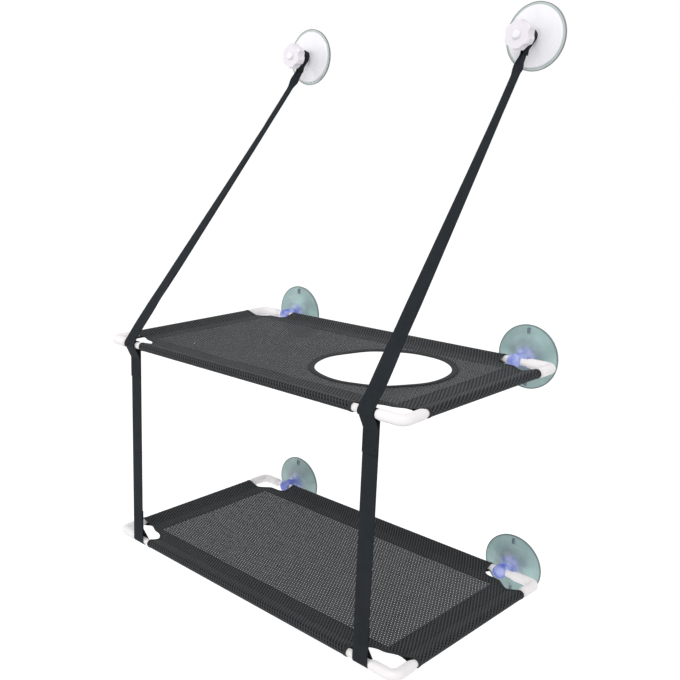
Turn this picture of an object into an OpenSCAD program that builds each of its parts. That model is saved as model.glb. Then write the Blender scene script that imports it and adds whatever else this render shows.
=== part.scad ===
// Two tier window perch: two mesh decks on tube frames, carried by suction cups and webbing straps.
// The window pane is the plane Y = 0 and the room lies towards -Y. Z = 0 is the lower cups' height.

/* [Frames] */
// Distance between the axes of a frame's left and right tubes
deck_width = 560; // [480:5:640]
// Distance between the axes of a frame's front and back tubes
deck_depth = 320; // [270:5:380]
// Height of the upper frame above the lower frame
deck_gap = 320; // [280:5:380]
// Outer diameter of the frame tubes
tube_d = 10; // [9:0.5:12]
// Wall thickness of the frame tubes
tube_wall = 1; // [0.8:0.1:1.5]

/* [Corner elbows] */
// Length of an elbow arm from the corner of the tube axes
elbow_arm = 36; // [32:1:44]
// Plastic around the tube in an elbow arm
elbow_wall = 2; // [1.6:0.1:3]
// Plastic around the tube in the collar at the end of an arm
collar_wall = 1.2; // [1:0.1:1.5]
// Length of the collar at the end of an arm
collar_length = 4; // [2:0.5:6]
// Depth that a tube goes into an elbow
socket_depth = 24; // [18:1:26]
// Bend radius of an elbow at its middle line
elbow_bend = 9; // [8:0.5:11]
// Thickness of the web in the inner corner of an elbow
web_thickness = 5; // [3:0.5:8]
// Reach of that web past the arms
web_reach = 9; // [5:1:10]

/* [Mesh covers] */
// Thickness of one layer of mesh
mesh_thickness = 1.4; // [1:0.1:2]
// Width of the doubled border, from the tube axis
border_width = 45; // [35:1:55]
// Distance from the tube axis to the seam that closes a sleeve
seam_distance = 20; // [16:1:26]
// Length of tube that a corner cut leaves bare along the front and back
notch_length = 72; // [66:1:84]
// Depth of a corner cut along the sides
notch_depth = 40; // [38:1:48]
// Radius of the curve of a corner cut
notch_radius = 26; // [18:1:34]

/* [Round hole] */
// Diameter of the clear hole in the upper cover
hole_d = 184; // [150:2:200]
// Distance of the hole's centre to the right of the middle
hole_shift = 114; // [90:1:122]
// Distance of the hole's centre from the front tube
hole_inset = 167; // [160:1:176]
// Width of the binding round the hole
binding_width = 9; // [6:0.5:10]
// Thickness of the binding above and below the mesh
binding_cover = 0.8; // [0.5:0.1:1.4]
// Depth of the mesh edge in the binding
binding_grip = 6; // [4:0.5:7]

/* [Back cups] */
// Diameter of a back suction cup
cup_d = 92; // [80:1:100]
// Distance of a back cup from the frame's side tube
cup_inset = 56; // [54:1:60]
// Distance from the window to the back tube
cup_standoff = 33; // [31:0.5:38]
// Thickness of a back cup at its edge
cup_edge = 1.6; // [1.2:0.1:2.4]
// Height of a back cup's body over the window
cup_body = 12; // [10:0.5:14]
// Diameter of a back cup's neck
cup_neck_d = 15; // [13:0.5:17]
// Diameter of a back cup's head
cup_head_d = 20; // [18:0.5:24]
// Length of a back cup's head
cup_head_length = 20; // [19:0.5:24]
// Width, length and height of the pull pips near a cup's edge
pip_size = [3.5, 9, 4.6];

/* [Top cups] */
// Height of the top cups above the upper frame
top_cup_height = 425; // [395:5:470]
// Distance between the two top cups
top_cup_spread = 404; // [380:2:460]
// Diameter of a top cup's soft disc
top_disc_d = 86; // [78:1:96]
// Thickness of a top cup's disc at its edge
top_disc_edge = 2; // [1.5:0.1:3]
// Height of a top cup's disc at the middle
top_disc_body = 6; // [5:0.5:7]
// Diameter of the stiff dome over the disc
dome_d = 78; // [70:1:80]
// Thickness of the dome
dome_thickness = 2.4; // [2:0.1:3]
// Diameter of the dome's hollow stem
stem_d = 12; // [11:0.5:13]
// Distance from the window to the end of the stem
stem_end = 32; // [31:0.5:36]
// Diameter of the stud in the stem
stud_d = 8; // [6:0.5:8]
// Diameter of the stud's end cap
stud_cap_d = 11; // [10:0.5:13]
// Thickness of the stud's end cap
stud_cap_t = 3.5; // [2:0.5:5]

/* [Knobs] */
// Diameter of a knob across its lobes
knob_d = 38; // [34:1:42]
// Length of a knob along its stud
knob_length = 15; // [12:0.5:18]
// Number of lobes round a knob
knob_lobes = 6; // [5:1:8]
// Radius of the flute between two lobes
flute_radius = 12; // [9:0.5:14]
// Depth of the flute between two lobes
flute_depth = 3; // [1.5:0.25:4]
// Bevel round the ends of a knob
knob_bevel = 2; // [1:0.5:3]

/* [Webbing straps] */
// Width of the webbing
strap_width = 24; // [20:1:26]
// Thickness of the webbing
strap_thickness = 1.2; // [1:0.1:1.6]
// Length of the open part of a sewn loop
loop_length = 22; // [18:1:28]
// Length of webbing sewn double behind a loop
sewn_length = 30; // [20:1:36]
// Width of a diagonal strap where it is folded double for the top loop
folded_width = 13; // [10:0.5:14]
// Length sewn below a top loop
top_sewn_length = 8; // [6:1:12]
// Length of the open part of a top loop below its ring
top_open_length = 5; // [3:1:8]
// Lean of a top loop on its stem, in degrees
loop_lean = 15; // [8:1:16]

/* [Fits] */
// Radial clearance of a tube in a cup's head, of a knob on its stud and of a tube in its socket
running_clearance = 0.05; // [0.02:0.01:0.08]
// Clearance of a webbing loop round a tube or a stem
loop_clearance = 0.3; // [0.2:0.05:0.5]
// Gap at the end of a part that must not rub
end_gap = 0.3; // [0.2:0.05:0.6]
// Gap between a strap and the elbow beside it
strap_gap = 1; // [0.6:0.1:2]

/* [Hidden] */
$fn = 64;
overrun = 1;
tube_r = tube_d / 2;
half_width = deck_width / 2;
back_y = -cup_standoff;
front_y = back_y - deck_depth;
hole_y = front_y + hole_inset;
arm_r = tube_r + elbow_wall;
collar_r = tube_r + collar_wall;
socket_r = tube_r + running_clearance;
tube_inset = elbow_arm - socket_depth;
sleeve_r = tube_r + running_clearance + mesh_thickness;
sleeve_reach_x = half_width - notch_length;
// How far a sleeve's seam reaches into the deck
seam_lap = 3;
top_z = deck_gap + top_cup_height;
top_x = top_cup_spread / 2;
cup_x = half_width - cup_inset;
strap_x = half_width - elbow_arm - strap_gap - strap_width / 2;
loop_in = tube_r + loop_clearance;
loop_out = loop_in + strap_thickness;
hug_in = loop_out + loop_clearance;
hug_out = hug_in + strap_thickness;
loop_mid = (loop_in + loop_out) / 2;
// Each vertical strap hangs behind the upper front tube and passes in front of the lower one
hang_lean = asin(2 * loop_mid / deck_gap);
hang_length = deck_gap * cos(hang_lean);
dome_flat_r = stem_d;
knob_back = stem_end + end_gap;
knob_front = knob_back + knob_length;
knob_root = knob_d / 2 - flute_depth;
stud_start = 2;
// The top loop is centred on the stem between the dome and the knob
dome_top = top_disc_body + dome_thickness;
top_loop_y = -(dome_top + stem_end) / 2;
top_loop_thickness = 2 * strap_thickness;
top_loop_in = stem_d / 2 / cos(loop_lean) + folded_width / 2 * tan(loop_lean) + loop_clearance;
top_loop_out = top_loop_in + top_loop_thickness;
// Shares of a ribbon's length: where it has narrowed, and where its last twist starts and ends
narrow_share = 0.62;
twist_shares = [0.6, 0.93];
ribbon_steps = 28;
// Angle round the upper front tube at which a diagonal strap's end lies, and the steps round it
hug_start = 212;
hug_steps = 12;
// How long a diagonal strap takes to turn from its climb into its top loop
top_bend_length = 12;
// How far the sewn part of a top loop reaches between its two legs
leg_lap = 1;
ribbon_overlap = 3;
// How much smaller a ribbon or a loop's leg is on each face and edge than what it enters
face_ease = 0.1;
edge_ease = 0.4;
// Shares of a cup's radius and body height down its slope, from the edge to the neck
cup_slope_shares = [[0.97, 0.02], [0.72, 0.14], [0.45, 0.42], [0.27, 0.8]];

// Colours as photographed
tube_colour = [0.94, 0.93, 0.92];
elbow_colour = [0.96, 0.94, 0.94];
mesh_colour = [0.24, 0.25, 0.26];
binding_colour = [0.1, 0.1, 0.11];
strap_colour = [0.14, 0.15, 0.17];
cup_colour = [0.62, 0.71, 0.72, 0.6];
dome_colour = [0.95, 0.95, 0.98];
stud_colour = [0.85, 0.85, 0.88];

// Points on an arc from angle a to angle b
function arc(r, a, b, steps) =
    [for (i = [0 : steps]) let (t = a + (b - a) * i / steps) r * [cos(t), sin(t)]];

// Angle at which the line from a point touches a circle round the origin
function touch_angle(point, r, side) = atan2(point[1], point[0]) + side * acos(r / norm(point));

function unit(v) = v / norm(v);

function smooth(t) = let (c = min(1, max(0, t))) c * c * (3 - 2 * c);

// A flat bar of given thickness from p to q
module bar(p, q, thickness) {
    reach = q - p;
    translate(p)
        rotate(atan2(reach[1], reach[0]))
            translate([0, -thickness / 2])
                square([norm(reach), thickness]);
}

module ring(r_in, r_out) {
    difference() {
        circle(r_out);
        circle(r_in);
    }
}

// Frame tubes

module tube(length) {
    color(tube_colour)
        difference() {
            cylinder(r = tube_r, h = length, center = true);
            cylinder(r = tube_r - tube_wall, h = length + overrun, center = true);
        }
}

module cross_tube(y, z) {
    translate([0, y, z])
        rotate([0, 90, 0])
            tube(deck_width - 2 * tube_inset - 2 * end_gap);
}

module side_tube(side, z) {
    translate([side * half_width, (front_y + back_y) / 2, z])
        rotate([90, 0, 0])
            tube(deck_depth - 2 * tube_inset - 2 * end_gap);
}

// Corner elbows

module elbow_arm_solid() {
    rotate([0, 90, 0]) {
        translate([0, 0, elbow_bend])
            cylinder(r = arm_r, h = elbow_arm - collar_length - elbow_bend);
        translate([0, 0, elbow_bend])
            cylinder(r = collar_r, h = elbow_arm - elbow_bend);
    }
}

module elbow_socket() {
    translate([tube_inset, 0, 0])
        rotate([0, 90, 0])
            cylinder(r = socket_r, h = socket_depth + overrun);
}

module elbow_web() {
    web = arm_r + web_reach;
    translate([0, 0, -web_thickness / 2])
        linear_extrude(web_thickness)
            difference() {
                square(web);
                translate([web, web])
                    circle(web_reach);
            }
}

// The corner of the tube axes is the origin, and the arms run along +X and +Y
module elbow() {
    color(elbow_colour)
        difference() {
            union() {
                elbow_arm_solid();
                mirror([1, -1, 0])
                    elbow_arm_solid();
                translate([elbow_bend, elbow_bend, 0])
                    rotate([0, 0, 180])
                        rotate_extrude(angle = 90)
                            translate([elbow_bend, 0])
                                circle(arm_r);
                translate([elbow_bend, elbow_bend, 0])
                    intersection() {
                        translate([-elbow_bend, -elbow_bend, 0])
                            elbow_web();
                        translate([-elbow_bend / 2, -elbow_bend / 2, -web_thickness])
                            cube([elbow_arm, elbow_arm, 2 * web_thickness]);
                    }
            }
            elbow_socket();
            mirror([1, -1, 0])
                elbow_socket();
        }
}

module placed_elbow(side, y, z) {
    translate([side * half_width, y, z])
        mirror([side > 0 ? 1 : 0, 0, 0])
            mirror([0, y == back_y ? 1 : 0, 0])
                elbow();
}

// Mesh covers

// Cross section of a sleeve round its tube, with the deck towards +X
module sleeve_profile() {
    difference() {
        union() {
            circle(sleeve_r);
            polygon([
                [0, sleeve_r], [seam_distance, mesh_thickness],
                [seam_distance + seam_lap, mesh_thickness], [seam_distance + seam_lap, -mesh_thickness],
                [seam_distance, -mesh_thickness], [0, -sleeve_r]]);
        }
        circle(socket_r);
    }
}

module sleeve(length) {
    translate([0, length / 2, 0])
        rotate([90, 0, 0])
            linear_extrude(length)
                sleeve_profile();
}

// A corner cut, with the corner of the tube axes at the origin
module notch() {
    reach = notch_radius;
    translate([-reach, -reach])
        square([notch_length + reach - notch_radius, notch_depth + reach]);
    translate([-reach, -reach])
        square([notch_length + reach, notch_depth + reach - notch_radius]);
    translate([notch_length - notch_radius, notch_depth - notch_radius])
        circle(notch_radius);
}

// Flat outline inside the sleeves' seams
module deck_outline() {
    difference() {
        translate([-half_width + seam_distance, seam_distance])
            square([deck_width - 2 * seam_distance, deck_depth - 2 * seam_distance]);
        for (side = [0, 1], end = [0, 1])
            translate([side == 0 ? -half_width : half_width, end * deck_depth])
                mirror([side, 0])
                    mirror([0, end])
                        notch();
    }
}

module deck_plate() {
    translate([0, 0, -mesh_thickness / 2])
        linear_extrude(mesh_thickness)
            deck_outline();
    translate([0, 0, -mesh_thickness])
        linear_extrude(2 * mesh_thickness)
            difference() {
                deck_outline();
                translate([-half_width + border_width, border_width])
                    square([deck_width - 2 * border_width, deck_depth - 2 * border_width]);
            }
}

// One cover, with the front tube's axis along X through the origin
module cover() {
    side_sleeve = deck_depth - 2 * notch_depth;
    for (end = [0, 1])
        translate([0, end * deck_depth, 0])
            rotate([0, 0, 90 - 180 * end])
                sleeve(2 * sleeve_reach_x);
    for (end = [0, 1])
        translate([end == 0 ? -half_width : half_width, deck_depth / 2, 0])
            rotate([0, 0, 180 * end])
                sleeve(side_sleeve);
    deck_plate();
}

module upper_mesh_cover() {
    mesh_hole_r = hole_d / 2 + binding_width - binding_grip;
    color(mesh_colour)
        translate([0, front_y, deck_gap])
            difference() {
                cover();
                translate([hole_shift, hole_inset, -seam_distance])
                    cylinder(r = mesh_hole_r, h = 2 * seam_distance);
            }
}

module lower_mesh_cover() {
    color(mesh_colour)
        translate([0, front_y, 0])
            cover();
}

// Folded tape round the hole, with a slot for the mesh
module upper_hole_binding() {
    r_in = hole_d / 2;
    slot_r = r_in + binding_width - binding_grip - running_clearance;
    half_slot = mesh_thickness / 2 + running_clearance;
    half_height = half_slot + binding_cover;
    color(binding_colour)
        translate([hole_shift, hole_y, deck_gap])
            rotate_extrude($fn = 96)
                difference() {
                    translate([r_in, -half_height])
                        square([binding_width, 2 * half_height]);
                    translate([slot_r, -half_slot])
                        square([binding_grip + overrun, 2 * half_slot]);
                }
}

// Suction cups: the axis runs from the window into the room

module facing_room(x, z) {
    translate([x, 0, z])
        rotate([90, 0, 0])
            children();
}

module back_cup(side, z) {
    cup_r = cup_d / 2;
    head_r = cup_head_d / 2;
    head_start = cup_standoff + cup_head_length / 2 - cup_head_length;
    head_end = head_start + cup_head_length;
    round_r = head_r / 2;
    slope = [for (s = cup_slope_shares) [s[0] * cup_r, cup_edge + s[1] * (cup_body - cup_edge)]];
    crown = [for (p = arc(round_r, 0, 90, 5)) [head_r - round_r, head_end - round_r] + p];
    color(cup_colour)
        difference() {
            facing_room(side * cup_x, z) {
                rotate_extrude()
                    polygon(concat(
                        [[0, 0], [cup_r, 0], [cup_r, cup_edge]], slope,
                        [[cup_neck_d / 2, cup_body], [cup_neck_d / 2, head_start], [head_r, head_start]],
                        crown, [[0, head_end]]));
                for (end = [-1, 1])
                    translate([-pip_size[0] / 2, end * (cup_r - pip_size[1]) - pip_size[1] / 2, 0])
                        cube(pip_size);
            }
            translate([side * cup_x, back_y, z])
                rotate([0, 90, 0])
                    cylinder(r = socket_r, h = cup_head_d + 2 * overrun, center = true);
        }
}

// Soft disc of a top cup
module top_disc(side) {
    disc_r = top_disc_d / 2;
    dome_r = dome_d / 2;
    color(cup_colour)
        facing_room(side * top_x, top_z)
            difference() {
                rotate_extrude()
                    polygon([
                        [0, 0], [disc_r, 0], [disc_r, top_disc_edge], [dome_r, top_disc_edge],
                        [dome_flat_r, top_disc_body], [0, top_disc_body]]);
                translate([0, 0, stud_start])
                    cylinder(r = stud_d / 2 + running_clearance, h = top_disc_body);
            }
}

// Stiff white dome that presses on the disc, with its hollow stem
module top_dome(side) {
    dome_r = dome_d / 2;
    color(dome_colour)
        facing_room(side * top_x, top_z)
            difference() {
                rotate_extrude()
                    polygon([
                        [0, top_disc_body], [dome_flat_r, top_disc_body], [dome_r, top_disc_edge],
                        [dome_r, top_disc_edge + dome_thickness / 2],
                        [dome_r - dome_thickness / 2, top_disc_edge + dome_thickness],
                        [dome_flat_r, dome_top], [stem_d / 2, dome_top],
                        [stem_d / 2, stem_end], [0, stem_end]]);
                translate([0, 0, stud_start])
                    cylinder(r = stud_d / 2 + running_clearance, h = stem_end + overrun);
            }
}

module top_stud(side) {
    cap_start = knob_front + end_gap;
    color(stud_colour)
        facing_room(side * top_x, top_z) {
            translate([0, 0, stud_start])
                cylinder(r = stud_d / 2, h = cap_start - stud_start + stud_cap_t / 2);
            translate([0, 0, cap_start])
                cylinder(r = stud_cap_d / 2, h = stud_cap_t / 2);
            translate([0, 0, cap_start + stud_cap_t / 2])
                cylinder(r1 = stud_cap_d / 2, r2 = stud_d / 2, h = stud_cap_t / 2);
        }
}

module knob(side) {
    knob_r = knob_d / 2;
    color(dome_colour)
        facing_room(side * top_x, top_z)
            translate([0, 0, knob_back])
                difference() {
                    rotate_extrude()
                        polygon([
                            [0, 0], [knob_r - knob_bevel, 0], [knob_r, knob_bevel],
                            [knob_r, knob_length - knob_bevel], [knob_r - knob_bevel, knob_length],
                            [0, knob_length]]);
                    for (i = [0 : knob_lobes - 1])
                        rotate([0, 0, i * 360 / knob_lobes])
                            translate([knob_root + flute_radius, 0, -overrun])
                                cylinder(r = flute_radius, h = knob_length + 2 * overrun);
                    translate([0, 0, -overrun])
                        cylinder(r = stud_d / 2 + running_clearance, h = knob_length + 2 * overrun);
                }
}

// Webbing

// Extrudes a profile drawn in (Y, Z) across the strap's width
module across(width) {
    rotate([90, 0, 90])
        translate([0, 0, -width / 2])
            linear_extrude(width)
                children();
}

// Loop round a tube at the origin, with a strap on its left that leaves along sign * Z
module tube_loop(sign) {
    meet = [-loop_mid, sign * loop_length];
    touch = touch_angle(meet, loop_mid, sign < 0 ? 1 : -1);
    ring(loop_in, loop_out);
    bar(loop_mid * [cos(touch), sin(touch)], meet, strap_thickness - 2 * face_ease);
    translate([-loop_in, sign > 0 ? loop_length : -loop_length - sewn_length])
        square([strap_thickness, sewn_length]);
}

module vertical_strap(side) {
    color(strap_colour)
        translate([side * strap_x, front_y, 0])
            across(strap_width)
                rotate(-hang_lean)
                    difference() {
                        union() {
                            tube_loop(1);
                            translate([-2 * loop_mid, hang_length])
                                mirror([1, 0])
                                    tube_loop(-1);
                            translate([-loop_out, 0])
                                square([strap_thickness, hang_length]);
                        }
                        circle(loop_in);
                        translate([-2 * loop_mid, hang_length])
                            circle(loop_in);
                    }
}

// The diagonal strap's route: it hugs the vertical strap's loop, climbs to the window and twists
hug_mid = (hug_in + hug_out) / 2;
top_down = [0, -sin(loop_lean), -cos(loop_lean)];
top_meet = top_loop_out + top_open_length;
ribbon_top = [0, top_loop_y, top_z] + (top_meet + top_sewn_length - ribbon_overlap) * top_down;
climb_point = [ribbon_top[1] - front_y, ribbon_top[2] - deck_gap];
climb_touch = touch_angle(climb_point, hug_mid, 1);
climb_dir = [0, sin(climb_touch), -cos(climb_touch)];
hug_point = [0, front_y + hug_mid * cos(climb_touch), deck_gap + hug_mid * sin(climb_touch)];
ribbon_bottom = hug_point + (sewn_length - ribbon_overlap) * climb_dir;

// Cubic curve through the ribbon's two ends, with its slope at each
function curve(p, t) =
    let (u = 1 - t)
    u * u * u * p[0] + 3 * u * u * t * p[1] + 3 * u * t * t * p[2] + t * t * t * p[3];
function slope(p, t) =
    let (u = 1 - t)
    unit(u * u * (p[1] - p[0]) + 2 * u * t * (p[2] - p[1]) + t * t * (p[3] - p[2]));

// Four corners of the webbing at one place on the ribbon
function section(p, t) =
    let (
        along = slope(p, t),
        across_x = unit([1, 0, 0] - along[0] * along),
        turn = 90 * smooth((t - twist_shares[0]) / (twist_shares[1] - twist_shares[0])),
        wide = cos(turn) * across_x + sin(turn) * cross(along, across_x),
        thin = cross(along, wide),
        fold = smooth(t / narrow_share),
        w = strap_width + (folded_width - strap_width) * fold - 2 * edge_ease,
        h = strap_thickness + (top_loop_thickness - strap_thickness) * fold - 2 * face_ease,
        c = curve(p, t))
    [c - wide * w / 2 - thin * h / 2, c + wide * w / 2 - thin * h / 2,
     c + wide * w / 2 + thin * h / 2, c - wide * w / 2 + thin * h / 2];

module ribbon(side) {
    low = ribbon_bottom + [side * strap_x, 0, 0];
    high = ribbon_top + [side * top_x, 0, 0];
    lean = [(high[0] - low[0]) / 3, 0, 0];
    third = norm(high - low) / 3;
    path = [low, low + third * climb_dir + lean, high + top_bend_length * top_down, high];
    rings = [for (i = [0 : ribbon_steps]) section(path, i / ribbon_steps)];
    points = [for (r = rings, p = r) p];
    last = 4 * ribbon_steps;
    sides = [for (i = [0 : ribbon_steps - 1], j = [0 : 3], half = [0, 1])
        let (a = 4 * i + j, b = 4 * i + (j + 1) % 4)
        half == 0 ? [a, b + 4, b] : [a, a + 4, b + 4]];
    ends = [[0, 2, 3], [0, 1, 2], [last, last + 2, last + 1], [last, last + 3, last + 2]];
    polyhedron(points, concat(sides, ends));
}

// Lower end of a diagonal strap: round the front of the vertical strap's loop, then along the climb
module hugging_end() {
    climb = sewn_length * [climb_dir[1], climb_dir[2]];
    outside = arc(hug_out, hug_start, climb_touch, hug_steps);
    inside = arc(hug_in, climb_touch, hug_start, hug_steps);
    ends = [outside[hug_steps] + climb, inside[0] + climb];
    polygon(concat(outside, ends, inside));
}

// Top loop, drawn in the plane across the stem, with the strap leaving along -Y
module top_loop() {
    mid_r = (top_loop_in + top_loop_out) / 2;
    meet = [0, -top_meet];
    ring(top_loop_in, top_loop_out);
    for (way = [-1, 1]) {
        touch = touch_angle(meet, mid_r, way);
        bar(mid_r * [cos(touch), sin(touch)], meet, top_loop_thickness - 2 * face_ease);
    }
    translate([-top_loop_thickness / 2, -top_meet - top_sewn_length])
        square([top_loop_thickness, top_sewn_length + leg_lap]);
}

module diagonal_strap(side) {
    color(strap_colour) {
        translate([side * strap_x, front_y, deck_gap])
            across(strap_width)
                hugging_end();
        ribbon(side);
        translate([side * top_x, top_loop_y, top_z])
            rotate([90 - loop_lean, 0, 0])
                translate([0, 0, -folded_width / 2])
                    linear_extrude(folded_width)
                        top_loop();
    }
}

cross_tube(front_y, deck_gap);  // upper_front_tube
cross_tube(back_y, deck_gap);  // upper_back_tube
side_tube(-1, deck_gap);  // upper_left_tube
side_tube(1, deck_gap);  // upper_right_tube
placed_elbow(-1, front_y, deck_gap);  // upper_front_left_elbow
placed_elbow(1, front_y, deck_gap);  // upper_front_right_elbow
placed_elbow(-1, back_y, deck_gap);  // upper_back_left_elbow
placed_elbow(1, back_y, deck_gap);  // upper_back_right_elbow
upper_mesh_cover();
upper_hole_binding();
cross_tube(front_y, 0);  // lower_front_tube
cross_tube(back_y, 0);  // lower_back_tube
side_tube(-1, 0);  // lower_left_tube
side_tube(1, 0);  // lower_right_tube
placed_elbow(-1, front_y, 0);  // lower_front_left_elbow
placed_elbow(1, front_y, 0);  // lower_front_right_elbow
placed_elbow(-1, back_y, 0);  // lower_back_left_elbow
placed_elbow(1, back_y, 0);  // lower_back_right_elbow
lower_mesh_cover();
back_cup(-1, deck_gap);  // upper_left_cup
back_cup(1, deck_gap);  // upper_right_cup
back_cup(-1, 0);  // lower_left_cup
back_cup(1, 0);  // lower_right_cup
top_disc(-1);  // left_top_disc
top_dome(-1);  // left_top_dome
top_stud(-1);  // left_top_stud
knob(-1);  // left_knob
top_disc(1);  // right_top_disc
top_dome(1);  // right_top_dome
top_stud(1);  // right_top_stud
knob(1);  // right_knob
diagonal_strap(-1);  // left_diagonal_strap
diagonal_strap(1);  // right_diagonal_strap
vertical_strap(-1);  // left_vertical_strap
vertical_strap(1);  // right_vertical_strap
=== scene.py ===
"""Window mounted cat perch: mesh decks, webbing straps and suction cups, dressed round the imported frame."""

import math

import bpy
import numpy as np
from bpy.props import FloatProperty, FloatVectorProperty, PointerProperty
from mathutils import Matrix, Vector
from mathutils.geometry import delaunay_2d_cdt


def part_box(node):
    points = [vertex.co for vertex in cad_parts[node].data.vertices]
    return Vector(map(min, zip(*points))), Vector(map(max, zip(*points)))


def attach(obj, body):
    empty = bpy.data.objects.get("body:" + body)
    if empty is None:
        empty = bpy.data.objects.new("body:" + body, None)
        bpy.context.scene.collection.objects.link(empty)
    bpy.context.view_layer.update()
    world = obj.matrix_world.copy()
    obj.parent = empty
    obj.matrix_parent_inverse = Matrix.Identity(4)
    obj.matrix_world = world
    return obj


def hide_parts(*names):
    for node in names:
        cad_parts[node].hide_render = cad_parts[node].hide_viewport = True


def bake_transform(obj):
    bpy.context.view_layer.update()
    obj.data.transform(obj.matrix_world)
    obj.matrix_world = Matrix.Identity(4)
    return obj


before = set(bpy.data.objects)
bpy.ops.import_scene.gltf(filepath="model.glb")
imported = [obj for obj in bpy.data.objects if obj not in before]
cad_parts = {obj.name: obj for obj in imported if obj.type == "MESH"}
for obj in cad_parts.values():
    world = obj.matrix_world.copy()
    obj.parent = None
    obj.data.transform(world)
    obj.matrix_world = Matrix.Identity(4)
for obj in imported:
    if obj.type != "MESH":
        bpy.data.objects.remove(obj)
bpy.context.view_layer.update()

bl_info = {
    "name": "Window Cat Perch",
    "version": (1, 0, 0),
    "blender": (4, 5, 0),
    "location": "View3D > Sidebar > Cat Perch",
    "description": "Builds the cloth, webbing and finishes of a window mounted cat perch",
    "category": "Add Mesh",
}

TIERS = ("upper", "lower")
SIDES = ("left", "right")
EDGES = ("front", "back", "left", "right")
ACROSS = np.array([1.0, 0.0, 0.0])


# Settings


def length(label, text, default, low, high):
    return FloatProperty(
        name=label, description=text, default=default, min=low, max=high, unit="LENGTH", precision=5
    )


def number(label, text, default, low, high):
    return FloatProperty(name=label, description=text, default=default, min=low, max=high)


def colour(label, text, default):
    return FloatVectorProperty(
        name=label, description=text, default=default, subtype="COLOR", size=3, min=0.0, max=1.0
    )


class PerchSizes(bpy.types.PropertyGroup):
    """Sizes of the cloth and webbing that the rigid parts don't fix"""

    cloth: length("Cloth", "Thickness of the mesh cloth", 0.0003, 0.0002, 0.001)
    sleeve_ease: length("Sleeve ease", "Gap between a tube and its sleeve", 0.0009, 0.0005, 0.0012)
    seam: length("Seam", "Distance of a sleeve's seam from its tube's axis", 0.020, 0.016, 0.026)
    border: length("Border", "Width of the doubled border", 0.045, 0.035, 0.055)
    cut_long: length("Cut length", "Length of a corner cut along the deck", 0.072, 0.066, 0.084)
    cut_deep: length("Cut depth", "Depth of a corner cut", 0.040, 0.038, 0.048)
    front_radius: length("Front cut radius", "Radius of a front corner cut", 0.026, 0.018, 0.034)
    front_rise: length("Front cut rise", "Cloth left in a front cut by the side sleeve", 0.008, 0.0, 0.010)
    back_radius: length("Back cut radius", "Radius of a back corner cut", 0.014, 0.010, 0.026)
    back_rise: length("Back cut rise", "Cloth left in a back cut by the side sleeve", 0.015, 0.0, 0.018)
    sag: length("Sag", "How far a deck hangs at its middle", 0.003, 0.0, 0.006)
    ripple: length("Ripple", "Height of the cloth's slow waves", 0.0004, 0.0, 0.001)
    hole_pitch: length("Weave pitch", "Distance between the weave's holes in a row", 0.0048, 0.003, 0.007)
    row_pitch: length("Row pitch", "Distance between the weave's rows", 0.0042, 0.003, 0.007)
    hole_size: length("Weave hole", "Width of a slit in the weave", 0.0011, 0.0006, 0.003)
    edge_tape: length("Edge tape", "Width of the tape round the corner cuts", 0.005, 0.003, 0.008)
    web: length("Webbing", "Thickness of the webbing", 0.0011, 0.0008, 0.0012)
    stitch: length("Stitch", "Length of one stitch", 0.0030, 0.002, 0.005)
    stitch_gap: length("Stitch gap", "Gap between two stitches", 0.0009, 0.0004, 0.002)
    thread: length("Thread", "Diameter of the sewing thread", 0.0005, 0.0003, 0.0008)


class PerchColours(bpy.types.PropertyGroup):
    """Colours of the perch's finishes"""

    yarn: colour("Yarn", "Mesh cloth's yarn", (0.011, 0.012, 0.014))
    # Painted highlight: colour of the yarn's crests, which come out lighter as if lit
    yarn_crest_highlight: colour("Yarn crest", "Crests of the mesh cloth's yarn", (0.092, 0.097, 0.103))
    webbing: colour("Webbing", "Strap webbing", (0.014, 0.017, 0.020))
    tape: colour("Tape", "Binding tape and edge tape", (0.020, 0.022, 0.024))
    thread: colour("Thread", "Sewing thread", (0.020, 0.021, 0.023))
    tube: colour("Tube", "Powder coat of the tubes", (0.86, 0.83, 0.83))
    elbow: colour("Elbow", "Moulded elbows", (0.90, 0.87, 0.88))
    cup: colour("Cup", "Clear soft cups", (0.33, 0.49, 0.48))
    cup_neck: colour("Cup neck", "Clear soft cups towards their necks", (0.18, 0.235, 0.28))
    cup_head: colour("Cup head", "Heads of the cups behind the decks", (0.14, 0.19, 0.68))
    # Painted highlight: pale glints painted into the cups' heads
    cup_gleam: colour("Cup gleam", "Pale marks in the cups' heads", (0.52, 0.58, 0.97))
    cup_tab: colour("Cup tab", "Small tabs near the cups' rims", (0.07, 0.10, 0.17))
    disc: colour("Disc", "Soft discs of the top cups", (0.50, 0.57, 0.56))
    dome: colour("Dome", "Domes of the top cups", (0.92, 0.91, 0.95))
    knob: colour("Knob", "Knobs of the top cups", (0.84, 0.80, 0.86))
    floor: colour("Floor", "Floor and backdrop", (0.92, 0.92, 0.92))


class PerchStage(bpy.types.PropertyGroup):
    """Camera and light"""

    eye: FloatVectorProperty(
        name="Eye", description="Camera's place", default=(0.84054, -1.09006, 0.62579),
        subtype="TRANSLATION", size=3, precision=5,
    )
    turn: FloatVectorProperty(
        name="Turn", description="Camera's yaw, pitch and roll", default=(0.82244, -0.25707, -0.00723),
        subtype="EULER", size=3, precision=5,
    )
    lens: number("Lens", "Focal length in mm", 46.397, 20.0, 120.0)
    shift: FloatVectorProperty(
        name="Shift", description="Shift of the frame", default=(0.12, 0.0352), size=2, precision=5
    )
    sky: number("Sky", "Strength of the even light", 0.74, 0.0, 2.0)
    key: number("Key", "Power of the key lamp in watts", 34.0, 0.0, 200.0)
    fill: number("Fill", "Power of the fill lamp in watts", 10.0, 0.0, 200.0)
    floor_drop: length("Floor drop", "Depth of the floor below the lower cups' centres", 0.42, 0.1, 1.0)


# Shader wires


def joining(operation, turned=False):
    """A method of Wire that joins it to other wires or numbers through one Math node."""

    def made(self, *others):
        return self.maths(operation, *((*others, self) if turned else (self, *others)))

    return made


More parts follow.
